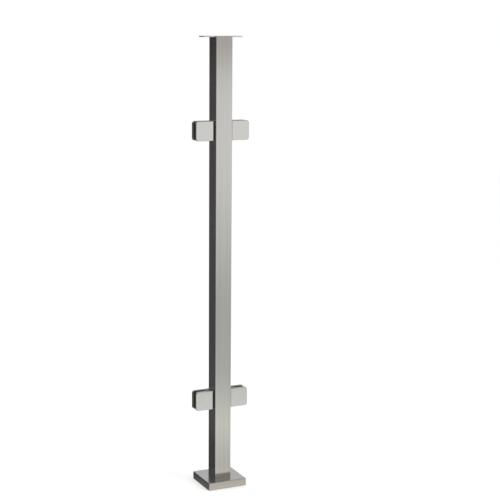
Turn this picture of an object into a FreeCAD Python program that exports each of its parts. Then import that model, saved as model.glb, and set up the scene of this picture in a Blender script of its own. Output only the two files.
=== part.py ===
import FreeCAD, Part
import math
import os
import Sketcher

# Glass balustrade post. Millimetres, +Z up along the post, origin on the floor at the post's centre.
# The glass runs along X, and the front of the clamps faces -Y.

# Driving sizes: name, value, meaning
SIZES = (
    ("post_height", 1052.0, "floor to the top of the saddle plate"),
    ("tube_width", 40.0, "outside width of the square tube"),
    ("tube_wall", 2.0, "wall of the square tube"),
    ("tube_corner", 1.0, "outside corner radius of the tube"),
    ("tube_inner_corner", 0.5, "inside corner radius of the tube"),
    ("flange_width", 88.0, "width of the floor flange"),
    ("flange_thickness", 6.0, "thickness of the floor flange"),
    ("flange_corner", 6.0, "corner radius of the floor flange"),
    ("flange_bevel", 0.8, "bevel round the flange's upper edge"),
    ("anchor_hole", 11.0, "diameter of a floor anchor hole"),
    ("anchor_edge", 11.0, "anchor hole's centre to the flange's edge"),
    ("weld_leg", 4.0, "leg of the fillet weld at the tube's foot"),
    ("weld_toe", 0.4, "upright edge left at the weld's toe"),
    ("cover_height", 18.0, "floor to the top of the base cover"),
    ("cover_sheet", 1.5, "sheet thickness of the base cover"),
    ("cover_bend", 0.5, "inside bend radius of the base cover"),
    ("flange_gap", 2.5, "flange's edge to the inside of the base cover"),
    ("slide_gap", 0.3, "tube to the edge of the cover's opening"),
    ("saddle_length", 97.0, "saddle plate along the handrail"),
    ("saddle_thickness", 3.0, "thickness of the saddle plate"),
    ("saddle_edge", 0.3, "rounding of the saddle plate's upper edge over the tube"),
    ("tab_width", 29.0, "width of the saddle plate's two tabs"),
    ("tab_corner", 4.0, "corner radius at the end of a tab"),
    ("tab_edge", 0.8, "rounding of the tabs' edges"),
    ("rail_hole", 5.5, "diameter of a handrail screw hole"),
    ("rail_sink", 1.5, "depth of the countersink under a tab"),
    ("upper_clamp", 839.0, "floor to the middle of the upper clamps"),
    ("lower_clamp", 208.0, "floor to the middle of the lower clamps"),
    ("clamp_height", 45.0, "height of a clamp"),
    ("clamp_reach", 46.0, "tube face to the outer end of the jaws"),
    ("block_length", 18.0, "tube face to the closed end of the glass slot"),
    ("block_drop", 2.0, "jaws' upper and lower ends past the block"),
    ("jaw_thickness", 6.75, "thickness of each jaw"),
    ("jaw_corner", 6.5, "corner radius at the outer end of the jaws"),
    ("jaw_gap", 3.0, "tube face to the front jaw"),
    ("jaw_edge", 1.2, "rounding round the outside faces of the jaws"),
    ("jaw_rim", 0.6, "rounding round the glass side of the jaws"),
    ("glass_slot", 8.0, "room for the glass between the gaskets"),
    ("gasket_stand", 2.25, "gasket standing out of its jaw"),
    ("gasket_seat", 2.0, "depth of the gasket's pocket in the jaw"),
    ("gasket_rim", 1.5, "jaw metal round the gasket's pocket"),
    ("gasket_fit", 0.15, "play round the gasket in its pocket"),
    ("gasket_edge", 0.5, "rounding round the gasket's glass face"),
    ("relief_depth", 2.5, "depth of the gasket's relief slots"),
    ("relief_margin", 6.5, "clamp's top to the narrow relief slot"),
    ("relief_step", 3.0, "top of the narrow slot to the top of the wide ones"),
    ("relief_end", 4.2, "gasket's outer end to the middle of the narrow slot"),
    ("relief_pitch", 7.5, "spacing of the relief slots"),
    ("narrow_relief", 2.4, "width of the narrow relief slot"),
    ("wide_relief", 5.0, "width of the two wide relief slots"),
    ("jaw_thread", 6.0, "thread diameter of a jaw screw"),
    ("jaw_head", 10.0, "head diameter of a jaw screw"),
    ("jaw_head_height", 4.0, "head height of a jaw screw"),
    ("jaw_key", 4.0, "hexagon key size of a jaw screw"),
    ("jaw_key_depth", 2.3, "depth of the key socket of a jaw screw"),
    ("jaw_screw_edge", 8.5, "clamp's top to the middle of a jaw screw"),
    ("jaw_sink", 0.5, "jaw screw's head below the rear jaw's face"),
    ("jaw_skin", 1.2, "front jaw metal left before a jaw screw's hole"),
    ("fixing_thread", 6.0, "thread diameter of a fixing screw"),
    ("fixing_head", 10.5, "head diameter of a fixing screw"),
    ("fixing_head_height", 3.3, "head height of a fixing screw"),
    ("fixing_dome", 2.2, "rounding of the fixing screw's button head"),
    ("fixing_key", 4.0, "hexagon key size of a fixing screw"),
    ("fixing_key_depth", 2.0, "depth of the key socket of a fixing screw"),
    ("fixing_seat", 8.0, "tube face to the seat of the fixing screw's head"),
    ("fixing_tip", 1.0, "fixing screw past the end of its rivet nut"),
    ("rivet_barrel", 8.8, "barrel diameter of a rivet nut"),
    ("rivet_length", 14.0, "rivet nut behind the tube's face"),
    ("rivet_flange", 11.0, "flange diameter of a rivet nut"),
    ("rivet_lip", 1.2, "flange thickness of a rivet nut"),
    ("rivet_bulge", 11.6, "diameter of the rivet nut's crimped bulge"),
    ("rivet_crimp", 3.0, "length of the rivet nut's crimped bulge"),
    ("head_round", 0.5, "rounding of a jaw screw's head"),
    ("thread_play", 0.1, "play round a thread in its tapped hole"),
    ("bolt_play", 0.3, "play round a screw in its clearance hole"),
    ("head_play", 0.5, "play round a screw's head in its counterbore"),
    ("lip_play", 0.2, "play round a rivet nut's flange in the block"),
)

# Places worked out from the driving sizes
TUBE_HALF = "dims.tube_width / 2"
TUBE_BORE_HALF = "(dims.tube_width / 2 - dims.tube_wall)"
TUBE_LENGTH = "(dims.post_height - dims.saddle_thickness - dims.flange_thickness)"
FLANGE_HALF = "dims.flange_width / 2"
ANCHOR_OFFSET = "(dims.flange_width / 2 - dims.anchor_edge)"
WELD_HALF = "(dims.tube_width / 2 + dims.weld_leg)"
COVER_HALF = "(dims.flange_width / 2 + dims.flange_gap + dims.cover_sheet)"
COVER_INSIDE_HALF = "(dims.flange_width / 2 + dims.flange_gap)"
COVER_OPENING_HALF = "(dims.tube_width / 2 + dims.slide_gap)"
SADDLE_HALF = "dims.saddle_length / 2"
TAB_HALF = "dims.tab_width / 2"
RAIL_HOLE_OFFSET = "((dims.saddle_length + dims.tube_width) / 4)"
CLAMP_HALF = "dims.clamp_height / 2"
SLOT_HALF = "(dims.glass_slot / 2)"
JAW_INSIDE = "(dims.glass_slot / 2 + dims.gasket_stand)"
JAW_OUTSIDE = "(dims.glass_slot / 2 + dims.gasket_stand + dims.jaw_thickness)"
POCKET_END = "(dims.clamp_reach - dims.gasket_rim)"
POCKET_HALF = "(dims.clamp_height / 2 - dims.gasket_rim)"
POCKET_CORNER = "(dims.jaw_corner - dims.gasket_rim)"
GASKET_START = "(dims.block_length + dims.gasket_fit)"
GASKET_END = "(dims.clamp_reach - dims.gasket_rim - dims.gasket_fit)"
GASKET_HALF = "(dims.clamp_height / 2 - dims.gasket_rim - dims.gasket_fit)"
GASKET_CORNER = "(dims.jaw_corner - dims.gasket_rim - dims.gasket_fit)"
JAW_SCREW_OUT = "((dims.jaw_gap + dims.block_length) / 2)"
JAW_SCREW_UP = "(dims.clamp_height / 2 - dims.jaw_screw_edge)"
JAW_BORE_DEPTH = "(dims.jaw_head_height + dims.jaw_sink)"
JAW_HOLE_DEPTH = "(dims.jaw_thickness - dims.jaw_skin)"
RIVET_HOLE = "(dims.rivet_barrel + 2 * dims.thread_play)"

TOLERANCE = 0.001
FULL_TURN = 360.0
HEXAGON_SIDES = 6
START_RADIUS = 10.0

LEFT = -1
RIGHT = 1
FRONT = -1
REAR = 1
UP = 1
DOWN = -1
SIDES = {"left": LEFT, "right": RIGHT}
CLAMP_HEIGHTS = {"upper": "dims.upper_clamp", "lower": "dims.lower_clamp"}

X_AXIS = FreeCAD.Vector(1, 0, 0)
Y_AXIS = FreeCAD.Vector(0, 1, 0)
Z_AXIS = FreeCAD.Vector(0, 0, 1)

doc = FreeCAD.newDocument("balustrade_post")


def fill_size_sheet():
    """Put every driving size in one named cell."""
    sheet = doc.addObject("Spreadsheet::Sheet", "dims")
    for row, (name, value, meaning) in enumerate(SIZES, start=1):
        sheet.set(f"A{row}", meaning)
        sheet.set(f"B{row}", str(value))
        sheet.setAlias(f"B{row}", name)
    doc.recompute()


def size(name):
    return getattr(doc.dims, name)


def new_body(label):
    body = doc.addObject("PartDesign::Body", label)
    body.Label = label
    return body


def put(piece, x="0", y="0", z="0", axis=Z_AXIS, turn=0.0):
    """Place a piece, turned about one axis, with its position tied to the sizes."""
    piece.Placement = FreeCAD.Placement(FreeCAD.Vector(), FreeCAD.Rotation(axis, turn))
    piece.setExpression("Placement.Base.x", x)
    piece.setExpression("Placement.Base.y", y)
    piece.setExpression("Placement.Base.z", z)


def new_sketch(body, name, plane, offset="0"):
    """Sketch on one of the body's own planes, moved along the plane's normal."""
    sketch = body.newObject("Sketcher::SketchObject", name)
    planes = {feature.Role: feature for feature in body.Origin.OriginFeatures}
    sketch.AttachmentSupport = [(planes[plane], "")]
    sketch.MapMode = "FlatFace"
    sketch.setExpression("AttachmentOffset.Base.z", offset)
    return sketch


def tie(sketch, kind, geometry, point, start, place):
    """Tie one coordinate of a sketch point, counted from the sketch's origin."""
    index = sketch.addConstraint(Sketcher.Constraint(kind, -1, 1, geometry, point, start))
    sketch.setExpression(f"Constraints[{index}]", place)


def tie_point(sketch, geometry, point, start, x, y):
    tie(sketch, "DistanceX", geometry, point, start.x, x)
    tie(sketch, "DistanceY", geometry, point, start.y, y)


def draw_outline(sketch, corners):
    """Closed outline of straight lines through the given corners, in order."""
    count = len(corners)
    step = 2 * math.pi / count
    starts = []
    for index in range(count):
        angle = step * index
        starts.append(FreeCAD.Vector(math.cos(angle), math.sin(angle), 0) * START_RADIUS)
    lines = []
    for index in range(count):
        line = Part.LineSegment(starts[index], starts[(index + 1) % count])
        lines.append(sketch.addGeometry(line, False))
    for index in range(count):
        following = lines[(index + 1) % count]
        sketch.addConstraint(Sketcher.Constraint("Coincident", lines[index], 2, following, 1))
    for line, start, (x, y) in zip(lines, starts, corners):
        tie_point(sketch, line, 1, start, x, y)


def draw_box(sketch, x_low, x_high, y_low, y_high):
    draw_outline(sketch, [(x_low, y_low), (x_high, y_low), (x_high, y_high), (x_low, y_high)])


def draw_square(sketch, half):
    draw_box(sketch, f"-{half}", half, f"-{half}", half)


def draw_circle(sketch, diameter, x="0", y="0"):
    centre = FreeCAD.Vector()
    circle = sketch.addGeometry(Part.Circle(centre, Z_AXIS, START_RADIUS), False)
    index = sketch.addConstraint(Sketcher.Constraint("Diameter", circle, 2 * START_RADIUS))
    sketch.setExpression(f"Constraints[{index}]", diameter)
    tie_point(sketch, circle, 3, centre, x, y)


def draw_jaw_outline(sketch, start, end, half, corner):
    """Outline seen from the front, square at the tube and with round corners at the outer end."""
    radius = START_RADIUS
    quarter = math.pi / 2
    upper = FreeCAD.Vector(0, radius, 0)
    lower = FreeCAD.Vector(0, -radius, 0)
    across = FreeCAD.Vector(radius, 0, 0)
    low_start, high_start = 2 * lower - across, 2 * upper - across
    runs = (
        Part.LineSegment(low_start, 2 * lower),
        Part.ArcOfCircle(Part.Circle(lower, Z_AXIS, radius), 3 * quarter, 4 * quarter),
        Part.LineSegment(lower + across, upper + across),
        Part.ArcOfCircle(Part.Circle(upper, Z_AXIS, radius), 0, quarter),
        Part.LineSegment(2 * upper, high_start),
        Part.LineSegment(high_start, low_start),
    )
    bottom, low_arc, outer, high_arc, top, inner = [sketch.addGeometry(run, False) for run in runs]
    order = (bottom, low_arc, outer, high_arc, top, inner)
    for first, second in zip(order, order[1:] + order[:1]):
        sketch.addConstraint(Sketcher.Constraint("Coincident", first, 2, second, 1))
    middle = f"{end} - {corner}"
    tie_point(sketch, bottom, 1, low_start, start, f"-{half}")
    tie_point(sketch, bottom, 2, 2 * lower, middle, f"-{half}")
    tie_point(sketch, outer, 1, lower + across, end, f"{corner} - {half}")
    tie_point(sketch, outer, 2, upper + across, end, f"{half} - {corner}")
    tie_point(sketch, top, 1, 2 * upper, middle, half)
    tie_point(sketch, top, 2, high_start, start, half)
    tie(sketch, "DistanceX", low_arc, 3, lower.x, middle)
    tie(sketch, "DistanceX", high_arc, 3, upper.x, middle)


def draw_slot(sketch, width, x, reach):
    """Upright slot with round ends, which reaches as far up as down."""
    radius = START_RADIUS
    upper = FreeCAD.Vector(0, radius, 0)
    lower = FreeCAD.Vector(0, -radius, 0)
    across = FreeCAD.Vector(radius, 0, 0)
    turn = math.pi
    right = sketch.addGeometry(Part.LineSegment(lower + across, upper + across), False)
    top = sketch.addGeometry(Part.ArcOfCircle(Part.Circle(upper, Z_AXIS, radius), 0, turn), False)
    left = sketch.addGeometry(Part.LineSegment(upper - across, lower - across), False)
    bottom = sketch.addGeometry(Part.ArcOfCircle(Part.Circle(lower, Z_AXIS, radius), turn, 2 * turn), False)
    for first, second in ((right, top), (top, left), (left, bottom), (bottom, right)):
        sketch.addConstraint(Sketcher.Constraint("Coincident", first, 2, second, 1))
    centre = f"({reach} - {width} / 2)"
    tie_point(sketch, right, 1, lower + across, f"{x} + {width} / 2", f"-{centre}")
    tie_point(sketch, right, 2, upper + across, f"{x} + {width} / 2", centre)
    tie_point(sketch, left, 1, upper - across, f"{x} - {width} / 2", centre)
    tie_point(sketch, left, 2, lower - across, f"{x} - {width} / 2", f"-{centre}")
    tie(sketch, "DistanceY", top, 3, upper.y, centre)
    tie(sketch, "DistanceY", bottom, 3, lower.y, f"-{centre}")


def draw_hexagon(sketch, across_flats):
    corners = []
    for index in range(HEXAGON_SIDES):
        angle = FULL_TURN / HEXAGON_SIDES * index
        reach = f"{across_flats} / sqrt(3)"
        corners.append((f"{reach} * cos({angle} deg)", f"{reach} * sin({angle} deg)"))
    draw_outline(sketch, corners)


def pad(body, sketch, length, name="pad", symmetric=False, reverse=False):
    feature = body.newObject("PartDesign::Pad", name)
    feature.Profile = sketch
    feature.setExpression("Length", length)
    feature.SideType = "Symmetric" if symmetric else "One side"
    feature.Reversed = reverse
    doc.recompute()
    return feature


def checked_cut(feature, volume_before):
    """A cut that removes nothing points the wrong way."""
    doc.recompute()
    if feature.Shape.Volume >= volume_before - TOLERANCE:
        raise RuntimeError(f"{feature.Name} cuts nothing")
    return feature


def pocket(body, sketch, depth, name="pocket", reverse=False):
    volume_before = body.Tip.Shape.Volume
    feature = body.newObject("PartDesign::Pocket", name)
    feature.Profile = sketch
    feature.setExpression("Length", depth)
    feature.Reversed = reverse
    return checked_cut(feature, volume_before)


def cut_through(body, sketch, name="through_cut"):
    volume_before = body.Tip.Shape.Volume
    feature = body.newObject("PartDesign::Pocket", name)
    feature.Profile = sketch
    feature.SideType = "Two sides"
    feature.Type = "ThroughAll"
    feature.Type2 = "ThroughAll"
    return checked_cut(feature, volume_before)


def revolve(body, sketch, name="turned"):
    feature = body.newObject("PartDesign::Revolution", name)
    feature.Profile = sketch
    feature.ReferenceAxis = (sketch, ["V_Axis"])
    feature.Angle = FULL_TURN
    doc.recompute()
    return feature


def dress(body, kind, name, measure, amount, edges):
    """Fillet or chamfer the named edges of the body's last feature."""
    if not edges:
        raise RuntimeError(f"{name} found no edge")
    base = body.Tip
    feature = body.newObject(kind, name)
    feature.Base = (base, edges)
    feature.setExpression(measure, amount)
    doc.recompute()
    return feature


def fillet(body, radius, edges, name="rounding"):
    return dress(body, "PartDesign::Fillet", name, "Radius", radius, edges)


def chamfer(body, width, edges, name="bevel"):
    return dress(body, "PartDesign::Chamfer", name, "Size", width, edges)


def edges_where(body, test):
    """Names of the edges that pass a test, without the point-like ones at a rounded corner."""
    edges = enumerate(body.Tip.Shape.Edges, start=1)
    return [f"Edge{number}" for number, edge in edges if not edge.Degenerated and test(edge)]


def runs_along(edge, axis):
    """Straight edge parallel to an axis."""
    if not isinstance(edge.Curve, Part.Line):
        return False
    return abs(edge.Curve.Direction.dot(axis)) > 1 - TOLERANCE


def at_level(edge, axis, level):
    """Edge whose points all lie at one level along an axis."""
    middle = (edge.FirstParameter + edge.LastParameter) / 2
    points = [edge.valueAt(where) for where in (edge.FirstParameter, middle, edge.LastParameter)]
    return all(abs(point.dot(axis) - level) < TOLERANCE for point in points)


def level_edges(body, axis, level):
    return edges_where(body, lambda edge: at_level(edge, axis, level))


def corner_edges(body):
    """Upright edges on the diagonals of a square piece."""

    def on_diagonal(edge):
        foot = edge.valueAt(edge.FirstParameter)
        return runs_along(edge, Z_AXIS) and abs(abs(foot.x) - abs(foot.y)) < TOLERANCE

    return edges_where(body, on_diagonal)


def make_post_tube():
    """Square tube on the flange, with a hole for a rivet nut behind each clamp."""
    body = new_body("post_tube")
    outside = new_sketch(body, "tube_outside", "XY_Plane")
    draw_square(outside, TUBE_HALF)
    pad(body, outside, TUBE_LENGTH)
    fillet(body, "dims.tube_corner", corner_edges(body), "outside_corners")
    inside = new_sketch(body, "tube_inside", "XY_Plane")
    draw_square(inside, TUBE_BORE_HALF)
    cut_through(body, inside, "tube_bore")
    fillet(body, "dims.tube_inner_corner", corner_edges(body), "inside_corners")
    holes = new_sketch(body, "rivet_holes", "YZ_Plane")
    for height in CLAMP_HEIGHTS.values():
        draw_circle(holes, RIVET_HOLE, "0", f"{height} - dims.flange_thickness")
    cut_through(body, holes, "rivet_hole_cut")
    put(body, z="dims.flange_thickness")
    return body


def make_base_flange():
    """Floor plate with an anchor hole near each corner."""
    body = new_body("base_flange")
    plate = new_sketch(body, "flange_plate", "XY_Plane")
    draw_square(plate, FLANGE_HALF)
    pad(body, plate, "dims.flange_thickness")
    fillet(body, "dims.flange_corner", corner_edges(body), "flange_corners")
    chamfer(body, "dims.flange_bevel", level_edges(body, Z_AXIS, body.Tip.Shape.BoundBox.ZMax))
    holes = new_sketch(body, "anchor_holes", "XY_Plane")
    for x in (f"-{ANCHOR_OFFSET}", ANCHOR_OFFSET):
        for y in (f"-{ANCHOR_OFFSET}", ANCHOR_OFFSET):
            draw_circle(holes, "dims.anchor_hole", x, y)
    cut_through(body, holes, "anchor_hole_cut")
    return body


def make_foot_weld():
    """Fillet weld in the angle between the tube and the flange."""
    body = new_body("foot_weld")
    toe = new_sketch(body, "weld_toe_line", "XY_Plane")
    draw_square(toe, WELD_HALF)
    pad(body, toe, "dims.weld_leg")
    fillet(body, "dims.weld_leg", corner_edges(body), "weld_corners")
    slope = "dims.weld_leg - dims.weld_toe"
    chamfer(body, slope, level_edges(body, Z_AXIS, body.Tip.Shape.BoundBox.ZMax), "weld_slope")
    bore = new_sketch(body, "weld_bore", "XY_Plane")
    draw_square(bore, TUBE_HALF)
    cut_through(body, bore, "weld_bore_cut")
    put(body, z="dims.flange_thickness")
    return body


def make_base_cover():
    """Folded sheet cover, open below, with an opening that slides on the tube."""
    body = new_body("base_cover")
    block = new_sketch(body, "cover_outside", "XY_Plane")
    draw_square(block, COVER_HALF)
    pad(body, block, "dims.cover_height")
    folds = corner_edges(body) + level_edges(body, Z_AXIS, body.Tip.Shape.BoundBox.ZMax)
    fillet(body, "dims.cover_bend + dims.cover_sheet", folds, "folded_edges")
    inside = new_sketch(body, "cover_inside", "XY_Plane")
    draw_square(inside, COVER_INSIDE_HALF)
    pocket(body, inside, "dims.cover_height - dims.cover_sheet", "cover_hollow", reverse=True)
    inner_folds = corner_edges(body) + level_edges(body, Z_AXIS, size("cover_height") - size("cover_sheet"))
    fillet(body, "dims.cover_bend", inner_folds, "inside_folds")
    opening = new_sketch(body, "cover_opening", "XY_Plane")
    draw_square(opening, COVER_OPENING_HALF)
    cut_through(body, opening, "cover_opening_cut")
    fillet(body, "dims.tube_corner", corner_edges(body), "opening_corners")
    return body


def make_saddle_plate():
    """Flat plate for the handrail: a square on the tube and a narrower round-cornered tab at each side."""
    body = new_body("saddle_plate")
    plate = new_sketch(body, "saddle_outline", "XY_Plane")
    quarter = [(SADDLE_HALF, TAB_HALF), (TUBE_HALF, TAB_HALF), (TUBE_HALF, TUBE_HALF)]
    corners = list(quarter)
    corners += [(f"-{x}", y) for x, y in reversed(quarter)]
    corners += [(f"-{x}", f"-{y}") for x, y in quarter]
    corners += [(x, f"-{y}") for x, y in reversed(quarter)]
    draw_outline(plate, corners)
    pad(body, plate, "dims.saddle_thickness")
    fillet(body, "dims.tube_corner", corner_edges(body), "square_corners")
    box = body.Tip.Shape.BoundBox
    square_end = size("tube_width") / 2 + TOLERANCE

    def on_tab(edge):
        return abs(edge.CenterOfMass.x) > square_end

    def tab_corner(edge):
        return on_tab(edge) and runs_along(edge, Z_AXIS)

    def tab_rim(edge):
        return on_tab(edge) and (at_level(edge, Z_AXIS, box.ZMin) or at_level(edge, Z_AXIS, box.ZMax))

    def square_rim(edge):
        return not on_tab(edge) and at_level(edge, Z_AXIS, box.ZMax)

    fillet(body, "dims.tab_corner", edges_where(body, tab_corner), "tab_corners")
    fillet(body, "dims.tab_edge", edges_where(body, tab_rim), "tab_edges")
    fillet(body, "dims.saddle_edge", edges_where(body, square_rim), "square_edges")
    holes = new_sketch(body, "rail_holes", "XY_Plane")
    for x in (f"-{RAIL_HOLE_OFFSET}", RAIL_HOLE_OFFSET):
        draw_circle(holes, "dims.rail_hole", x)
    cut_through(body, holes, "rail_hole_cut")
    underside = body.Tip.Shape.BoundBox.ZMin

    def hole_mouth(edge):
        return edge.isClosed() and at_level(edge, Z_AXIS, underside)

    chamfer(body, "dims.rail_sink", edges_where(body, hole_mouth), "countersink")
    put(body, z="dims.post_height - dims.saddle_thickness")
    return body


def put_on_tube(body, side, height):
    """Seat a clamp piece on the tube's side. The left one is the right one turned half round."""
    turn = 0.0 if side == RIGHT else FULL_TURN / 2
    put(body, x=f"{side} * {TUBE_HALF}", z=height, axis=Y_AXIS, turn=turn)


def draw_screw_places(sketch, diameter):
    for y in (f"-{JAW_SCREW_UP}", JAW_SCREW_UP):
        draw_circle(sketch, diameter, JAW_SCREW_OUT, y)


def sink_gasket_pocket(body, face):
    """Shallow pocket for the gasket in the inside face of a jaw."""
    mouth = new_sketch(body, "gasket_mouth", "XZ_Plane", f"{-face} * {JAW_INSIDE}")
    draw_jaw_outline(mouth, "dims.block_length", POCKET_END, POCKET_HALF, POCKET_CORNER)
    pocket(body, mouth, "dims.gasket_seat", "gasket_pocket", reverse=face == FRONT)


def make_jaw_plate(body, start, face):
    """Jaw from its start to the clamp's outer end, rounded at its outer corners and all its edges."""
    outline = new_sketch(body, "jaw_outline", "XZ_Plane", f"{-face} * {JAW_OUTSIDE}")
    draw_jaw_outline(outline, start, "dims.clamp_reach", CLAMP_HALF, "dims.jaw_corner")
    pad(body, outline, "dims.jaw_thickness", "jaw_plate", reverse=face == FRONT)
    box = body.Tip.Shape.BoundBox
    outside, inside = (box.YMin, box.YMax) if face == FRONT else (box.YMax, box.YMin)
    fillet(body, "dims.jaw_edge", level_edges(body, Y_AXIS, outside), "outside_edges")
    fillet(body, "dims.jaw_rim", level_edges(body, Y_AXIS, inside), "rim_edges")


def drill_screw_holes(body):
    """Clearance holes for the two jaw screws."""
    screws = new_sketch(body, "jaw_screw_holes", "XZ_Plane")
    draw_screw_places(screws, "dims.jaw_thread + 2 * dims.bolt_play")
    cut_through(body, screws, "jaw_screw_hole_cut")


def make_clamp_block(label, side, height):
    """Block between the jaws, screwed to the tube. Its ends are set back from the jaws' ends."""
    body = new_body(label)
    plan = new_sketch(body, "block_plan", "XY_Plane")
    draw_box(plan, "0", "dims.block_length", f"-{JAW_INSIDE}", JAW_INSIDE)
    pad(body, plan, "dims.clamp_height - 2 * dims.block_drop", "block", symmetric=True)
    shank = new_sketch(body, "fixing_hole", "YZ_Plane")
    draw_circle(shank, "dims.fixing_thread + 2 * dims.bolt_play")
    cut_through(body, shank, "fixing_hole_cut")
    head = new_sketch(body, "fixing_bore", "YZ_Plane", "dims.block_length")
    draw_circle(head, "dims.fixing_head + 2 * dims.head_play")
    pocket(body, head, "dims.block_length - dims.fixing_seat", "fixing_bore_cut")
    lip = new_sketch(body, "rivet_recess", "YZ_Plane")
    draw_circle(lip, "dims.rivet_flange + 2 * dims.lip_play")
    pocket(body, lip, "dims.rivet_lip + dims.lip_play", "rivet_recess_cut", reverse=True)
    drill_screw_holes(body)
    put_on_tube(body, side, height)
    return body


def make_rear_jaw(label, side, height):
    """Rear jaw against the tube, counterbored for the heads of the jaw screws."""
    body = new_body(label)
    make_jaw_plate(body, "0", REAR)
    sink_gasket_pocket(body, REAR)
    drill_screw_holes(body)
    bores = new_sketch(body, "jaw_screw_bores", "XZ_Plane", f"-{JAW_OUTSIDE}")
    draw_screw_places(bores, "dims.jaw_head + 2 * dims.head_play")
    pocket(body, bores, JAW_BORE_DEPTH, "jaw_screw_bore_cut", reverse=True)
    put_on_tube(body, side, height)
    return body


def make_front_jaw(label, side, height):
    """Flat front jaw, tapped from behind so that its face stays plain."""
    body = new_body(label)
    make_jaw_plate(body, "dims.jaw_gap", FRONT)
    sink_gasket_pocket(body, FRONT)
    holes = new_sketch(body, "tapped_holes", "XZ_Plane", JAW_INSIDE)
    draw_screw_places(holes, "dims.jaw_thread + 2 * dims.thread_play")
    pocket(body, holes, JAW_HOLE_DEPTH, "tapped_hole_cut", reverse=True)
    put_on_tube(body, side, height)
    return body


def make_gasket(label, side, height, face):
    """Rubber pad with upright relief slots in its glass face."""
    body = new_body(label)
    glass_face = f"{-face} * {SLOT_HALF}"
    outline = new_sketch(body, "gasket_outline", "XZ_Plane", glass_face)
    draw_jaw_outline(outline, GASKET_START, GASKET_END, GASKET_HALF, GASKET_CORNER)
    pad(body, outline, "dims.gasket_stand + dims.gasket_seat", reverse=face == REAR)
    box = body.Tip.Shape.BoundBox
    glass_level = box.YMin if face == REAR else box.YMax
    fillet(body, "dims.gasket_edge", level_edges(body, Y_AXIS, glass_level), "gasket_edges")
    slots = new_sketch(body, "relief_slots", "XZ_Plane", glass_face)
    narrow_reach = f"({CLAMP_HALF} - dims.relief_margin)"
    wide_reach = f"({CLAMP_HALF} - dims.relief_margin - dims.relief_step)"
    narrow = ("dims.narrow_relief", narrow_reach)
    wide = ("dims.wide_relief", wide_reach)
    for index, (width, reach) in enumerate((narrow, wide, wide)):
        middle = f"({GASKET_END} - dims.relief_end - {index} * dims.relief_pitch)"
        draw_slot(slots, width, middle, reach)
    pocket(body, slots, "dims.relief_depth", "relief_slot_cut", reverse=face == FRONT)
    put_on_tube(body, side, height)
    return body


def make_screw(label, thread, head, head_height, length, key, key_depth, rounding):
    """Screw along its own Z axis, with the seat of its head at the origin and a hexagon socket."""
    body = new_body(label)
    profile = new_sketch(body, "screw_profile", "XZ_Plane")
    draw_outline(
        profile,
        [
            ("0", head_height),
            ("0", f"-({length})"),
            (f"{thread} / 2", f"-({length})"),
            (f"{thread} / 2", "0"),
            (f"{head} / 2", "0"),
            (f"{head} / 2", head_height),
        ],
    )
    revolve(body, profile)
    fillet(body, rounding, level_edges(body, Z_AXIS, body.Tip.Shape.BoundBox.ZMax), "head_rounding")
    socket = new_sketch(body, "key_socket", "XY_Plane", head_height)
    draw_hexagon(socket, key)
    pocket(body, socket, key_depth, "key_socket_cut")
    return body


def make_jaw_screw(label, side, height, up):
    """Low socket cap screw that pulls both jaws onto the clamp's block."""
    seat = f"({JAW_OUTSIDE} - {JAW_BORE_DEPTH})"
    length = f"{seat} + {JAW_INSIDE} + {JAW_HOLE_DEPTH} - dims.bolt_play"
    body = make_screw(
        label,
        "dims.jaw_thread",
        "dims.jaw_head",
        "dims.jaw_head_height",
        length,
        "dims.jaw_key",
        "dims.jaw_key_depth",
        "dims.head_round",
    )
    x = f"{side} * ({TUBE_HALF} + {JAW_SCREW_OUT})"
    put(body, x=x, y=seat, z=f"{height} + {up} * {JAW_SCREW_UP}", axis=X_AXIS, turn=-FULL_TURN / 4)
    return body


def make_fixing_screw(label, side, height):
    """Button head screw that holds a clamp's block on the tube."""
    body = make_screw(
        label,
        "dims.fixing_thread",
        "dims.fixing_head",
        "dims.fixing_head_height",
        "dims.fixing_seat + dims.rivet_length + dims.fixing_tip",
        "dims.fixing_key",
        "dims.fixing_key_depth",
        "dims.fixing_dome",
    )
    x = f"{side} * ({TUBE_HALF} + dims.fixing_seat)"
    put(body, x=x, z=height, axis=Y_AXIS, turn=side * FULL_TURN / 4)
    return body


def make_rivet_nut(label, side, height):
    """Blind rivet nut, crimped behind the tube's wall."""
    body = new_body(label)
    profile = new_sketch(body, "rivet_profile", "XZ_Plane")
    bore = "(dims.fixing_thread / 2 + dims.thread_play)"
    crimp_end = "-(dims.tube_wall + dims.rivet_crimp)"
    draw_outline(
        profile,
        [
            (bore, "dims.rivet_lip"),
            (bore, "-dims.rivet_length"),
            ("dims.rivet_barrel / 2", "-dims.rivet_length"),
            ("dims.rivet_barrel / 2", crimp_end),
            ("dims.rivet_bulge / 2", crimp_end),
            ("dims.rivet_bulge / 2", "-dims.tube_wall"),
            ("dims.rivet_barrel / 2", "-dims.tube_wall"),
            ("dims.rivet_barrel / 2", "0"),
            ("dims.rivet_flange / 2", "0"),
            ("dims.rivet_flange / 2", "dims.rivet_lip"),
        ],
    )
    revolve(body, profile)
    put(body, x=f"{side} * {TUBE_HALF}", z=height, axis=Y_AXIS, turn=side * FULL_TURN / 4)
    return body


def gather(label, pieces):
    """One node for a group of identical fasteners, which stay separate solids."""
    group = doc.addObject("Part::Compound", label)
    group.Label = label
    group.Links = pieces
    return group


def make_clamps():
    """The pieces of the four glass clamps."""
    pieces = []
    for level, height in CLAMP_HEIGHTS.items():
        for name, side in SIDES.items():
            place = f"{level}_{name}"
            pieces.append(make_clamp_block(f"{place}_clamp_block", side, height))
            pieces.append(make_rear_jaw(f"{place}_rear_jaw", side, height))
            pieces.append(make_front_jaw(f"{place}_front_jaw", side, height))
            pieces.append(make_gasket(f"{place}_rear_gasket", side, height, REAR))
            pieces.append(make_gasket(f"{place}_front_gasket", side, height, FRONT))
    return pieces


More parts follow.
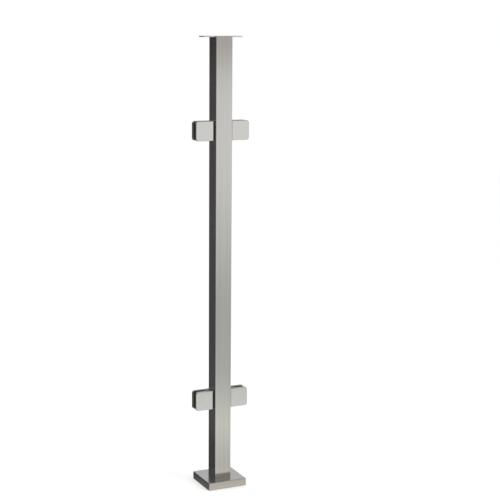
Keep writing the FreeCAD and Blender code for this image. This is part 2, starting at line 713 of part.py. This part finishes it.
def make_fasteners():
    """Jaw screws, fixing screws and rivet nuts, one node each."""
    jaw_screws = []
    fixing_screws = []
    rivet_nuts = []
    for level, height in CLAMP_HEIGHTS.items():
        for name, side in SIDES.items():
            place = f"{level}_{name}"
            for end, up in (("top", UP), ("bottom", DOWN)):
                jaw_screws.append(make_jaw_screw(f"{place}_{end}_jaw_screw", side, height, up))
            fixing_screws.append(make_fixing_screw(f"{place}_fixing_screw", side, height))
            rivet_nuts.append(make_rivet_nut(f"{place}_rivet_nut", side, height))
    return [
        gather("jaw_screws", jaw_screws),
        gather("fixing_screws", fixing_screws),
        gather("rivet_nuts", rivet_nuts),
    ]


def check_model(pieces):
    """Stop before anything is written if a feature failed or a shape is unsound."""
    doc.recompute()
    for item in doc.Objects:
        if "Invalid" in item.State or "Error" in item.State:
            raise RuntimeError(f"{item.Label} failed: {item.State}")
    for piece in pieces:
        if piece.Shape.isNull() or not piece.Shape.isValid():
            raise RuntimeError(f"{piece.Label} has no sound shape")


def write_pieces(pieces):
    os.makedirs("parts", exist_ok=True)
    for piece in pieces:
        piece.Shape.exportStep(f"parts/{piece.Label}.step")
        print(piece.Label, len(piece.Shape.Solids), round(piece.Shape.Volume, 1))


fill_size_sheet()
model = [
    make_post_tube(),
    make_base_flange(),
    make_foot_weld(),
    make_base_cover(),
    make_saddle_plate(),
]
model += make_clamps()
model += make_fasteners()
check_model(model)
write_pieces(model)
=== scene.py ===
import math

import bmesh
import bpy
from mathutils import Matrix, Quaternion, Vector


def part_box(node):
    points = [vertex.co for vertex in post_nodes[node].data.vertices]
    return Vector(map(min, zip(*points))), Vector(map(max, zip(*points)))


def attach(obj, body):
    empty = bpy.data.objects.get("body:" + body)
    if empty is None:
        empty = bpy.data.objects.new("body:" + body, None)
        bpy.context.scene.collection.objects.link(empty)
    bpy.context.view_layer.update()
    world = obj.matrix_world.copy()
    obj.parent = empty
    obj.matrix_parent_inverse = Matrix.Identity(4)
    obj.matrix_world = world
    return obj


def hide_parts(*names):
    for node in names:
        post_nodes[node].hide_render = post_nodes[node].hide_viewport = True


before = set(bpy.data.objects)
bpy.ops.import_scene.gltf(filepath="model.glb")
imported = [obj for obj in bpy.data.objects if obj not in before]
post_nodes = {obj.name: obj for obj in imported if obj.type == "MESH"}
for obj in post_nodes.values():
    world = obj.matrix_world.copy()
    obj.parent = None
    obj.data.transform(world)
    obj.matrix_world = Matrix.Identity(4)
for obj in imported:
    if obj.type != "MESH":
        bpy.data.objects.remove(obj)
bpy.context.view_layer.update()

# Camera: where it stands round the post, how it is turned, and its lens on a 36 mm sensor
CAMERA_AZIMUTH = math.radians(-24.084)
CAMERA_DISTANCE = 2.9986
CAMERA_HEIGHT = 1.0842
CAMERA_YAW = math.radians(25.404)
CAMERA_PITCH = math.radians(-9.872)
CAMERA_ROLL = math.radians(0.424)
CAMERA_LENS = 94.569
SENSOR_WIDTH = 36.0

# Floor and studio
WHITE = (1.0, 1.0, 1.0, 1.0)
FLOOR_HALF = 12.0
FLOOR_DROP = 0.0004
FLOOR_COLOUR = (0.82, 0.82, 0.81, 1.0)
FLOOR_ROUGHNESS = 0.9
FLOOR_LIFT = 0.42
WORLD_WHITE = 1.0
WORLD_FILL = 0.72

# Softbox
KEY_PLACE = (1.7, -2.0, 2.3)
KEY_SIZE = 1.6
KEY_POWER = 18.0
KEY_AIM = (0.0, 0.0, 0.5)

# Cards that only reflections see. Each is swept round the post between two bearings, in degrees from
# +Y towards +X, and fades out over so many degrees at its start and its end. Its profile is a row of
# points: radius, height and colour. The left wall stands just inside the rear wall, which it fades into.
# The slack takes up rounding at a card's start.
CARD_STEPS = 48
MAT = 0.0006
FAR_WALL = 3.5
LEFT_WALL = 3.4
SIDE_WALL = 1.0
NO_FADE = (0.0, 0.0)
FULL_TURN = 360.0
BEARING_SLACK = 1.0
ALPHA = 3
CARDS = {
    "left_wall": (20.0, -72.0, (36.0, 0.0), (
        (LEFT_WALL, MAT, (0.074, 0.074, 0.077)),
        (LEFT_WALL, 0.82, (0.076, 0.076, 0.078)),
        (LEFT_WALL, 1.03, (0.03, 0.03, 0.03)),
        (LEFT_WALL, 1.25, (0.03, 0.03, 0.03)),
        (LEFT_WALL, 1.6, (0.38, 0.38, 0.38)),
        (LEFT_WALL, 2.6, (0.45, 0.45, 0.45)),
    )),
    "left_floor": (35.0, -72.0, (50.0, 0.0), (
        (0.12, MAT, (0.066, 0.066, 0.064)),
        (0.3, MAT, (0.066, 0.066, 0.064)),
        (0.5, MAT, (0.1, 0.1, 0.098)),
        (1.0, MAT, (0.085, 0.085, 0.088)),
        (1.3, MAT, (0.072, 0.073, 0.077)),
        (LEFT_WALL, MAT, (0.072, 0.072, 0.075)),
    )),
    "left_mat": (35.0, -138.0, (50.0, 10.0), (
        (0.046, MAT, (0.2, 0.2, 0.19)),
        (0.08, MAT, (0.13, 0.13, 0.125)),
        (0.1, MAT, (0.085, 0.085, 0.082)),
        (0.12, MAT, (0.08, 0.08, 0.077)),
    )),
    "side_wall": (-72.0, -165.0, NO_FADE, (
        (SIDE_WALL, MAT, (0.4, 0.4, 0.4)),
        (SIDE_WALL, 2.2, (0.4, 0.4, 0.4)),
    )),
    "side_floor": (-72.0, -138.0, NO_FADE, (
        (0.12, MAT, (0.3, 0.3, 0.3)),
        (SIDE_WALL, MAT, (0.4, 0.4, 0.4)),
    )),
    "front_wall": (222.0, 100.0, NO_FADE, (
        (FAR_WALL, 0.88, (0.6, 0.595, 0.58)),
        (FAR_WALL, 1.05, (0.6, 0.59, 0.57)),
        (FAR_WALL, 1.25, (0.56, 0.52, 0.45)),
        (FAR_WALL, 3.4, (0.56, 0.52, 0.45)),
    )),
    "front_mat": (222.0, 70.0, (0.0, 50.0), (
        (0.046, MAT, (1.0, 0.94, 0.84)),
        (0.09, MAT, (0.95, 0.89, 0.81)),
        (0.14, MAT, (0.74, 0.755, 0.73)),
        (0.28, MAT, (0.82, 0.83, 0.8)),
        (0.5, MAT, (0.96, 0.98, 0.94)),
        (1.0, MAT, (0.67, 0.68, 0.68)),
        (2.1, MAT, (0.62, 0.63, 0.635)),
        (3.2, MAT, (0.77, 0.78, 0.785)),
        (6.0, MAT, (0.98, 0.99, 0.985)),
    )),
    "rear_wall": (95.0, -16.0, NO_FADE, (
        (FAR_WALL, 0.2, (0.5, 0.5, 0.51)),
        (FAR_WALL, 1.12, (0.5, 0.5, 0.51)),
        (FAR_WALL, 1.25, (0.92, 0.92, 0.93)),
        (FAR_WALL, 1.5, (1.0, 1.0, 1.0)),
        (FAR_WALL, 2.4, (1.0, 1.0, 1.0)),
    )),
    "ceiling": (180.0, -180.0, NO_FADE, (
        (0.05, 2.8, (0.45, 0.45, 0.45)),
        (2.4, 2.8, (0.45, 0.45, 0.45)),
    )),
}

# Noise in the finishes: its roughness, the range that most of it takes, and the shares of a broad and a
# fine pattern in one grain
NOISE_ROUGHNESS = 0.6
NOISE_RANGE = (0.3, 0.7)
GRAIN_SHARES = (0.6, 0.4)

# Brushing: scales along and across its lines, how far it stretches a reflection across them, and the
# height of the relief
TUBE_LINES = (4.0, 1600.0)
TUBE_BANDS = (1.2, 330.0)
SHEET_LINES = (5.0, 1600.0)
SHEET_BANDS = (2.0, 300.0)
GRAIN_STRETCH = 0.89
RELIEF = 0.00005

# Share of a normal that marks the cover's ends, the saddle plate's cut edges and the jaws' outside faces
END_FACING = 0.7
EDGE_FACING = 0.8
JAW_FACING = (0.55, 0.85)

# Distance from the post's middle at which the saddle plate is ground flush with the tube
FLUSH_FROM = 0.0195

# A weld's heat: where it begins, fades and ends, by height on the tube and by distance from the middle
# on the flange, how far its edge wavers there, and its colours from the bead outwards to clean steel
TUBE_HEAT = (0.0085, 0.0145, 0.0172)
FLANGE_HEAT = (0.0235, 0.0285, 0.0325)
HEAT_WAVER = 0.0012
HEAT = (
    (0.0, (0.36, 0.30, 0.24, 1.0)),
    (0.3, (0.24, 0.27, 0.38, 1.0)),
    (0.5, (0.34, 0.22, 0.26, 1.0)),
    (0.72, (0.50, 0.38, 0.20, 1.0)),
    (1.0, (0.55, 0.52, 0.47, 1.0)),
)

# Weld bead round the tube's foot: length of one ripple, size of the bead at the rings of one ripple, how
# far the ripples bow back, the bead's section from its toe to its top, and the gap that counts as none
RIPPLE_PITCH = 0.0018
RIPPLE_RINGS = (1.0, 1.03, 1.07, 1.09)
RIPPLE_LAG = 0.001
BEAD_BULGE = (1.0, 0.9, 0.86, 0.9, 1.0)
WELD_MERGE = 0.00001


def link(thing):
    bpy.context.scene.collection.objects.link(thing)
    return thing


def mesh_piece(name, shape, material):
    """Turn a finished bmesh into an object at the origin."""
    mesh = bpy.data.meshes.new(name)
    shape.to_mesh(mesh)
    shape.free()
    mesh.materials.append(material)
    return link(bpy.data.objects.new(name, mesh))


class Finish:
    """A material's node tree, with short calls to add and join nodes."""

    def __init__(self, name):
        self.material = bpy.data.materials.new(name)
        self.material.use_nodes = True
        self.tree = self.material.node_tree
        self.shader = self.tree.nodes["Principled BSDF"]

    def add(self, kind, **settings):
        node = self.tree.nodes.new(kind)
        for name, value in settings.items():
            setattr(node, name, value)
        return node

    def join(self, source, target):
        self.tree.links.new(source, target)

    def fill(self, socket, value):
        """Join an output to a socket, or set the socket to a plain value."""
        if isinstance(value, bpy.types.NodeSocket):
            self.join(value, socket)
        else:
            socket.default_value = value

    def place(self, scale=(1.0, 1.0, 1.0)):
        """Object coordinates, stretched to a pattern's scale."""
        coordinates = self.add("ShaderNodeTexCoord")
        mapping = self.add("ShaderNodeMapping")
        mapping.inputs["Scale"].default_value = scale
        self.join(coordinates.outputs["Object"], mapping.inputs["Vector"])
        return mapping.outputs["Vector"]

    def noise(self, scale, detail=3.0):
        texture = self.add("ShaderNodeTexNoise")
        texture.inputs["Scale"].default_value = 1.0
        texture.inputs["Detail"].default_value = detail
        texture.inputs["Roughness"].default_value = NOISE_ROUGHNESS
        self.join(self.place(scale), texture.inputs["Vector"])
        return texture.outputs["Fac"]

    def brush(self, lines, axis, detail=3.0):
        """Noise drawn out along one axis."""
        along, across = lines
        return self.noise([along if name == axis else across for name in "XYZ"], detail)

    def spread(self, value, low, high, start=0.25, end=0.75):
        """Carry a pattern's range over to another range."""
        node = self.add("ShaderNodeMapRange")
        node.inputs["From Min"].default_value = start
        node.inputs["From Max"].default_value = end
        node.inputs["To Min"].default_value = low
        node.inputs["To Max"].default_value = high
        self.join(value, node.inputs["Value"])
        return node.outputs["Result"]

    def full(self, pattern):
        """Share from 0 to 1 that uses a pattern's usual range."""
        return self.spread(pattern, 0.0, 1.0, *NOISE_RANGE)

    def grain(self, broad, fine):
        """Share from 0 to 1 of a broad and a fine pattern together."""
        parts = [self.spread(pattern, 0.0, share, *NOISE_RANGE)
                 for pattern, share in zip((broad, fine), GRAIN_SHARES)]
        return self.calculate("ADD", *parts)

    def calculate(self, kind, first, second):
        """One step of arithmetic."""
        node = self.add("ShaderNodeMath", operation=kind)
        self.fill(node.inputs[0], first)
        self.fill(node.inputs[1], second)
        return node.outputs["Value"]

    def size(self, value):
        """A value without its sign."""
        return self.calculate("ABSOLUTE", value, 0.0)

    def mix(self, kind, share, first, second):
        node = self.add("ShaderNodeMix", data_type=kind)
        for value, socket in ((share, "Factor"), (first, "A"), (second, "B")):
            self.fill(node.inputs[socket], value)
        return node.outputs["Result"]

    def blend(self, share, first, second):
        """Colour between two, by a share from 0 to 1."""
        return self.mix("RGBA", share, first, second)

    def choose(self, share, first, second):
        """Value between two, by a share from 0 to 1."""
        return self.mix("FLOAT", share, first, second)

    def ramp(self, value, stops):
        """Colours along a value, from pairs of position and colour."""
        node = self.add("ShaderNodeValToRGB")
        band = node.color_ramp.elements
        while len(band) < len(stops):
            band.new(1.0)
        for element, (position, colour) in zip(band, stops):
            element.position = position
            element.color = colour
        self.join(value, node.inputs["Fac"])
        return node.outputs["Color"]

    def heat_tint(self, place, reach, steel):
        """Steel with the colours of a weld's heat along a value."""
        start, fade, end = reach
        heat = self.ramp(self.spread(place, 0.0, 1.0, start, end), HEAT)
        clean = self.spread(place, 0.0, 1.0, fade, end)
        return self.blend(clean, heat, steel)

    def axes(self):
        """Object coordinates as three values."""
        split = self.add("ShaderNodeSeparateXYZ")
        self.join(self.place(), split.inputs["Vector"])
        return split.outputs

    def normals(self):
        """Direction that the surface faces, as three values."""
        split = self.add("ShaderNodeSeparateXYZ")
        self.join(self.add("ShaderNodeTexCoord").outputs["Normal"], split.inputs["Vector"])
        return split.outputs

    def bump(self, value, strength):
        node = self.add("ShaderNodeBump")
        node.inputs["Strength"].default_value = strength
        node.inputs["Distance"].default_value = RELIEF
        self.join(value, node.inputs["Height"])
        self.join(node.outputs["Normal"], self.shader.inputs["Normal"])

    def metal(self, colour, roughness, relief, strength):
        """Finish the shader as bare metal."""
        self.fill(self.shader.inputs["Base Color"], colour)
        self.fill(self.shader.inputs["Roughness"], roughness)
        self.shader.inputs["Metallic"].default_value = 1.0
        self.bump(relief, strength)
        return self.material

    def stretch_grain(self, axis):
        """Spread reflections across a grain that runs along one axis."""
        self.shader.inputs["Anisotropic"].default_value = GRAIN_STRETCH
        tangent = self.add("ShaderNodeTangent", direction_type="RADIAL", axis=axis)
        self.join(tangent.outputs["Tangent"], self.shader.inputs["Tangent"])


def post_steel():
    """Tube brushed from end to end, with the weld's heat at its foot."""
    finish = Finish("post_brushed_steel")
    fine = finish.brush(TUBE_LINES, "Z")
    broad = finish.brush(TUBE_BANDS, "Z", detail=2.0)
    cloud = finish.noise((30.0, 30.0, 3.0), detail=2.0)
    tone = finish.grain(broad, fine)
    steel = finish.blend(tone, (0.515, 0.502, 0.48, 1.0), (0.605, 0.592, 0.568, 1.0))
    colour = finish.heat_tint(finish.axes()["Z"], TUBE_HEAT, steel)
    rough = finish.calculate("ADD", finish.spread(fine, 0.18, 0.24), finish.spread(cloud, -0.01, 0.02))
    finish.stretch_grain("Z")
    return finish.metal(colour, rough, fine, 0.05)


def cover_steel():
    """Sheet brushed along X on its flat and long faces and along Y on its ends."""
    finish = Finish("cover_brushed_steel")
    end_face = finish.calculate("GREATER_THAN", finish.size(finish.normals()["X"]), END_FACING)
    fine = finish.choose(end_face, finish.brush(SHEET_LINES, "X"), finish.brush(SHEET_LINES, "Y"))
    broad = finish.choose(end_face, finish.brush(SHEET_BANDS, "X"), finish.brush(SHEET_BANDS, "Y"))
    tone = finish.grain(broad, fine)
    steel = finish.blend(tone, (0.43, 0.425, 0.42, 1.0), (0.49, 0.484, 0.478, 1.0))
    return finish.metal(steel, finish.spread(fine, 0.18, 0.25), fine, 0.05)


def saddle_steel():
    """Plate brushed along the handrail, with rough cut edges under a painted highlight, and its weld
    ground flush with the tube.
    """
    finish = Finish("saddle_brushed_steel")
    brush = finish.brush(SHEET_LINES, "X")
    broad = finish.brush(SHEET_BANDS, "X")
    drag = finish.noise((900.0, 900.0, 60.0))
    tone = finish.grain(broad, brush)
    plate = finish.blend(tone, (0.53, 0.515, 0.495, 1.0), (0.585, 0.57, 0.55, 1.0))
    # Colour of the cut edges, far paler than the plate: painted highlight
    edge_painted_light = finish.blend(finish.full(drag), (0.74, 0.735, 0.725, 1.0), (0.82, 0.815, 0.805, 1.0))
    upright = finish.calculate("LESS_THAN", finish.size(finish.normals()["Z"]), EDGE_FACING)
    tab = finish.calculate("LESS_THAN", finish.size(finish.axes()["Y"]), FLUSH_FROM)
    cut_edge_and_highlight_share = finish.calculate("MULTIPLY", upright, tab)
    rough = finish.choose(cut_edge_and_highlight_share, finish.spread(brush, 0.2, 0.28), finish.spread(drag, 0.3, 0.42))
    return finish.metal(finish.blend(cut_edge_and_highlight_share, plate, edge_painted_light), rough, brush, 0.05)


def jaw_steel():
    """Cast jaws with satin outside faces and duller edges, whose dark colour is painted shade."""
    finish = Finish("jaw_satin_steel")
    grain = finish.noise((2200.0, 2200.0, 2200.0), detail=4.0)
    brush = finish.noise((40.0, 900.0, 900.0), detail=2.0)
    cloud = finish.noise((70.0, 70.0, 70.0), detail=3.0)
    tone = finish.grain(cloud, brush)
    satin = finish.blend(tone, (0.635, 0.63, 0.61, 1.0), (0.68, 0.675, 0.655, 1.0))
    # Colour of the faces that do not face along Y, far darker than the satin faces: painted shade
    edge_painted_light = finish.blend(tone, (0.37, 0.365, 0.355, 1.0), (0.43, 0.425, 0.415, 1.0))
    facing = finish.spread(finish.size(finish.normals()["Y"]), 0.0, 1.0, *JAW_FACING)
    smooth = finish.calculate("ADD", finish.spread(grain, 0.2, 0.25), finish.spread(cloud, -0.01, 0.01))
    rough = finish.choose(facing, finish.spread(grain, 0.28, 0.36), smooth)
    return finish.metal(finish.blend(facing, edge_painted_light, satin), rough, grain, 0.015)


def block_steel():
    """Block between the jaws, with the dull skin of its mould, its dark colour painted shade between the
    jaws.
    """
    finish = Finish("block_cast_steel_painted_shade")
    mould = finish.noise((750.0, 750.0, 750.0), detail=5.0)
    grain = finish.noise((2200.0, 2200.0, 2200.0), detail=4.0)
    # Colour far darker than steel: painted shade between the jaws
    painted_shade_skin = finish.blend(finish.full(mould), (0.18, 0.18, 0.175, 1.0), (0.28, 0.278, 0.27, 1.0))
    return finish.metal(painted_shade_skin, finish.spread(mould, 0.42, 0.6), grain, 0.1)


def flange_steel():
    """Plate as it left the mill, stained by the weld's heat round the tube."""
    finish = Finish("flange_mill_steel")
    grain = finish.noise((900.0, 900.0, 900.0), detail=5.0)
    cloud = finish.noise((55.0, 55.0, 55.0), detail=4.0)
    steel = finish.blend(finish.full(cloud), (0.36, 0.355, 0.345, 1.0), (0.47, 0.465, 0.455, 1.0))
    across = finish.axes()
    reach = finish.calculate("MAXIMUM", finish.size(across["X"]), finish.size(across["Y"]))
    wavy = finish.calculate("ADD", reach, finish.spread(cloud, -HEAT_WAVER, HEAT_WAVER))
    colour = finish.heat_tint(wavy, FLANGE_HEAT, steel)
    return finish.metal(colour, finish.spread(grain, 0.34, 0.5), grain, 0.12)


def weld_steel():
    """Bead with the dull sheen and straw tint of a bare weld."""
    finish = Finish("weld_bead_steel")
    grain = finish.noise((1500.0, 1500.0, 1500.0), detail=4.0)
    cloud = finish.noise((160.0, 160.0, 160.0), detail=3.0)
    steel = finish.blend(finish.full(cloud), (0.34, 0.31, 0.29, 1.0), (0.52, 0.48, 0.41, 1.0))
    return finish.metal(steel, finish.spread(grain, 0.24, 0.4), grain, 0.1)


def fastener_steel(name, dark, light):
    """Plain stainless screw or nut, faintly marked by the die."""
    finish = Finish(name)
    grain = finish.noise((1400.0, 1400.0, 1400.0), detail=4.0)
    cloud = finish.noise((260.0, 260.0, 260.0), detail=2.0)
    steel = finish.blend(finish.full(cloud), dark, light)
    return finish.metal(steel, finish.spread(grain, 0.24, 0.38), grain, 0.08)


def gasket_rubber():
    """Moulded black rubber, slightly dusty in patches."""
    finish = Finish("gasket_rubber")
    grain = finish.noise((1800.0, 1800.0, 1800.0), detail=4.0)
    cloud = finish.noise((90.0, 90.0, 90.0), detail=3.0)
    tone = finish.full(cloud)
    colour = finish.blend(tone, (0.034, 0.034, 0.035, 1.0), (0.054, 0.054, 0.055, 1.0))
    finish.join(colour, finish.shader.inputs["Base Color"])
    finish.join(finish.spread(grain, 0.45, 0.65), finish.shader.inputs["Roughness"])
    finish.bump(grain, 0.15)
    return finish.material


def dress_nodes():
    """Give every solid its finish."""
    jaw = jaw_steel()
    block = block_steel()
    gasket = gasket_rubber()
    screw = fastener_steel("screw_steel", (0.46, 0.455, 0.445, 1.0), (0.54, 0.535, 0.525, 1.0))
    finishes = {
        "post_tube": post_steel(),
        "base_cover": cover_steel(),
        "saddle_plate": saddle_steel(),
        "base_flange": flange_steel(),
        "jaw_screws": screw,
        "fixing_screws": screw,
        "rivet_nuts": fastener_steel("rivet_nut_steel", (0.42, 0.42, 0.41, 1.0), (0.5, 0.5, 0.49, 1.0)),
    }
    for name, node in post_nodes.items():
        if name.endswith("gasket"):
            finish = gasket
        elif name.endswith("_jaw"):
            finish = jaw
        elif name.endswith("_block"):
            finish = block
        else:
            finish = finishes.get(name)
        if finish:
            node.material_slots[0].material = finish


def bead_steps(face, leg):
    """Moves that carry the bead's section once round the tube, along each side and about each corner."""
    runs = len(RIPPLE_RINGS) * round(2 * face / RIPPLE_PITCH)
    bends = len(RIPPLE_RINGS) * round(math.pi / 2 * leg / RIPPLE_PITCH)
    steps = []
    for side in range(4):
        turn = Matrix.Rotation(math.pi / 2 * side, 4, "Z")
        along = turn @ Matrix.Translation((2 * face / runs, 0.0, 0.0)) @ turn.inverted()
        corner = Matrix.Translation(turn @ Vector((face, -face, 0.0)))
        bend = corner @ Matrix.Rotation(math.pi / 2 / bends, 4, "Z") @ corner.inverted()
        steps += [along] * runs + [bend] * bends
    return steps


def make_weld_bead():
    """Rippled bead round the tube's foot, in place of the plain weld."""
    low, high = (Vector(corner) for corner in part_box("foot_weld"))
    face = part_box("post_tube")[1][0]
    leg = high.z - low.z
    root = Vector((-face, -face, low.z))
    shape = bmesh.new()
    ring = [shape.verts.new(root)]
    turn = math.pi / 2 / (len(BEAD_BULGE) - 1)
    for index, bulge in enumerate(BEAD_BULGE):
        out = math.cos(turn * index) * leg * bulge
        up = math.sin(turn * index) * leg * bulge
        lag = math.sin(2 * turn * index) * RIPPLE_LAG
        ring.append(shape.verts.new(root + Vector((-lag, -out, up))))
    edges = [shape.edges.new(pair) for pair in zip(ring, ring[1:] + ring[:1])]
    for index, step in enumerate(bead_steps(face, leg)):
        made = bmesh.ops.extrude_edge_only(shape, edges=edges)["geom"]
        ring = [part for part in made if isinstance(part, bmesh.types.BMVert)]
        edges = [part for part in made if isinstance(part, bmesh.types.BMEdge) and part.is_boundary]
        bmesh.ops.transform(shape, matrix=step, verts=ring)
        root = step @ root
        before, after = (RIPPLE_RINGS[place % len(RIPPLE_RINGS)] for place in (index, index + 1))
        swell = after / before
        proud = [point for point in ring if (point.co - root).xy.length > WELD_MERGE]
        bmesh.ops.scale(shape, vec=(swell, swell, swell), space=Matrix.Translation(-root), verts=proud)
    bmesh.ops.remove_doubles(shape, verts=shape.verts, dist=WELD_MERGE)
    bmesh.ops.recalc_face_normals(shape, faces=shape.faces)
    for facet in shape.faces:
        facet.smooth = True
    bead = mesh_piece("weld_bead", shape, weld_steel())
    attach(bead, "post")
    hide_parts("foot_weld")


def make_camera():
    lens = bpy.data.cameras.new("photo_camera")
    lens.lens = CAMERA_LENS
    lens.sensor_width = SENSOR_WIDTH
    camera = link(bpy.data.objects.new("photo_camera", lens))
    across = math.sin(CAMERA_AZIMUTH) * CAMERA_DISTANCE
    back = -math.cos(CAMERA_AZIMUTH) * CAMERA_DISTANCE
    camera.location = (across, back, CAMERA_HEIGHT)
    level = math.cos(CAMERA_PITCH)
    look = Vector((math.sin(CAMERA_YAW) * level, math.cos(CAMERA_YAW) * level, math.sin(CAMERA_PITCH)))
    roll = Quaternion((0.0, 0.0, 1.0), CAMERA_ROLL)
    camera.rotation_euler = (look.to_track_quat("-Z", "Y") @ roll).to_euler()
    bpy.context.scene.camera = camera


def seen_directly(tree):
    """1 for camera, glossy and transmission rays, which all see the white of the studio."""
    path = tree.nodes.new("ShaderNodeLightPath")
    total = path.outputs["Is Camera Ray"]
    for name in ("Is Glossy Ray", "Is Transmission Ray"):
        larger = tree.nodes.new("ShaderNodeMath")
        larger.operation = "MAXIMUM"
        tree.links.new(total, larger.inputs[0])
        tree.links.new(path.outputs[name], larger.inputs[1])
        total = larger.outputs["Value"]
    return total


def make_world():
    world = bpy.data.worlds.new("white_studio")
    bpy.context.scene.world = world
    world.use_nodes = True
    tree = world.node_tree
    background = tree.nodes["Background"]
    background.inputs["Color"].default_value = WHITE
    strength = tree.nodes.new("ShaderNodeMapRange")
    strength.inputs["To Min"].default_value = WORLD_FILL
    strength.inputs["To Max"].default_value = WORLD_WHITE
    tree.links.new(seen_directly(tree), strength.inputs["Value"])
    tree.links.new(strength.outputs["Result"], background.inputs["Strength"])


def make_floor():
    """Pale floor that keeps the post's shadow and is white where nothing shades it."""
    material = bpy.data.materials.new("pale_floor")
    material.use_nodes = True
    tree = material.node_tree
    shader = tree.nodes["Principled BSDF"]
    shader.inputs["Base Color"].default_value = FLOOR_COLOUR
    shader.inputs["Roughness"].default_value = FLOOR_ROUGHNESS
    shader.inputs["Specular IOR Level"].default_value = 0.0
    shader.inputs["Emission Color"].default_value = WHITE
    lift = tree.nodes.new("ShaderNodeMath")
    lift.operation = "MULTIPLY"
    lift.inputs[1].default_value = FLOOR_LIFT
    tree.links.new(seen_directly(tree), lift.inputs[0])
    tree.links.new(lift.outputs["Value"], shader.inputs["Emission Strength"])
    shape = bmesh.new()
    bmesh.ops.create_grid(shape, x_segments=1, y_segments=1, size=FLOOR_HALF)
    bmesh.ops.translate(shape, verts=shape.verts, vec=(0.0, 0.0, -FLOOR_DROP))
    floor = mesh_piece("floor", shape, material)


def card_paint():
    """Light of a card, as strong, tinted and thin as its points say."""
    material = bpy.data.materials.new("studio_card")
    material.use_nodes = True
    tree = material.node_tree
    tree.nodes.remove(tree.nodes["Principled BSDF"])
    shade = tree.nodes.new("ShaderNodeAttribute")
    shade.attribute_name = "shade"
    light = tree.nodes.new("ShaderNodeEmission")
    tree.links.new(shade.outputs["Color"], light.inputs["Color"])
    clear = tree.nodes.new("ShaderNodeBsdfTransparent")
    cover = tree.nodes.new("ShaderNodeMixShader")
    tree.links.new(shade.outputs["Alpha"], cover.inputs["Fac"])
    tree.links.new(clear.outputs["BSDF"], cover.inputs[1])
    tree.links.new(light.outputs["Emission"], cover.inputs[2])
    tree.links.new(cover.outputs["Shader"], tree.nodes["Material Output"].inputs["Surface"])
    return material


def fade_ends(shape, shade, start, end, fades):
    """Thin a card out towards its two ends."""
    for point in shape.verts:
        bearing = math.degrees(math.atan2(point.co.x, point.co.y))
        swept = (start - bearing + BEARING_SLACK) % FULL_TURN - BEARING_SLACK
        for way, fade in zip((swept, start - end - swept), fades):
            if fade:
                point[shade][ALPHA] = min(point[shade][ALPHA], max(way / fade, 0.0))


def swept_card(name, start, end, fades, profile, paint):
    """Card swept round the post from one bearing to another, seen by reflections alone."""
    shape = bmesh.new()
    shade = shape.verts.layers.float_color.new("shade")
    bearing = Matrix.Rotation(math.radians(-start), 3, "Z")
    row = []
    for radius, height, colour in profile:
        point = shape.verts.new(bearing @ Vector((0.0, radius, height)))
        point[shade] = (*colour, 1.0)
        row.append(point)
    edges = [shape.edges.new(pair) for pair in zip(row, row[1:])]
    bmesh.ops.spin(shape, geom=row + edges, cent=(0.0, 0.0, 0.0), axis=(0.0, 0.0, 1.0),
                   angle=math.radians(start - end), steps=CARD_STEPS, use_merge=False)
    fade_ends(shape, shade, start, end, fades)
    card = mesh_piece(name, shape, paint)
    card.visible_camera = False
    card.visible_diffuse = False
    card.visible_shadow = False


def make_cards():
    paint = card_paint()
    for name, (start, end, fades, profile) in CARDS.items():
        swept_card(name, start, end, fades, profile, paint)


def make_softbox():
    light = bpy.data.lights.new("softbox", "AREA")
    light.shape = "SQUARE"
    light.size = KEY_SIZE
    light.energy = KEY_POWER
    softbox = link(bpy.data.objects.new("softbox", light))
    softbox.location = KEY_PLACE
    aim = Vector(KEY_AIM) - Vector(KEY_PLACE)
    softbox.rotation_euler = aim.to_track_quat("-Z", "Y").to_euler()
    softbox.visible_glossy = False


dress_nodes()
make_weld_bead()
make_camera()
make_world()
make_floor()
make_cards()
make_softbox()
bpy.context.scene.view_settings.view_transform = "Standard"
